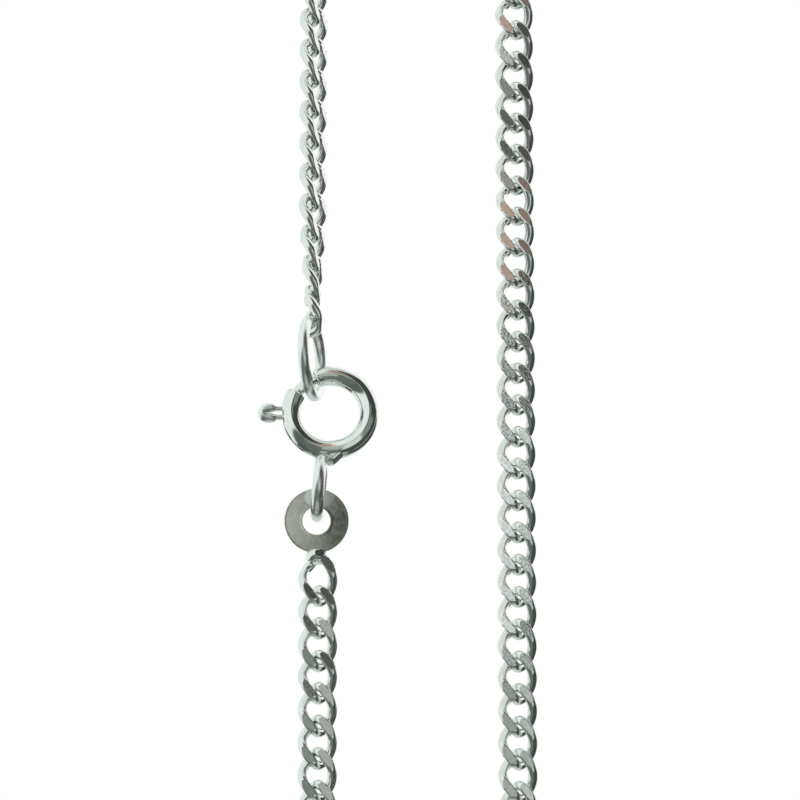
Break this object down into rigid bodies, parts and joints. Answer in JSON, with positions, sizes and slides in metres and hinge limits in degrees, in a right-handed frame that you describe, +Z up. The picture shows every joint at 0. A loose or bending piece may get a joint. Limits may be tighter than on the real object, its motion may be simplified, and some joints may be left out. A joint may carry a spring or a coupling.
{
  "type": "curb chain necklace",
  "caption": "Closed necklace of flat-cut curb links with a spring ring clasp, jump ring and round end tag, hanging as a long narrow loop.",
  "frame": {"origin": "inside of the chain's top bend, where the necklace rests on what holds it", "axes": "+Z up, the front with the clasp's face looks along -Y, +X to the right seen from the front"},
  "size_m": [0.02, 0.0058, 0.1931],
  "materials": {
    "chain_silver": "polished wire with diamond-cut flats",
    "clasp_silver": "polished",
    "ring_silver": "polished wire",
    "tag_silver": "satin, finely brushed"
  },
  "bodies": {
    "necklace": {"chain_ring_side": "chain_silver", "chain_tag_side": "chain_silver", "jump_ring": "ring_silver", "clasp_ring": "clasp_silver", "end_tag": "tag_silver"},
    "bolt": {"clasp_bolt": "clasp_silver"}
  },
  "joints": [
    {"name": "bolt_slide", "type": "hinge", "parent": "necklace", "child": "bolt", "pos_m": [-0.00599, 0, -0.08998], "axis": [0, -1, 0], "range_deg": [0, 46], "stiffness_Nm_per_rad": 0.003, "springref_deg": -17.19}
  ]
}
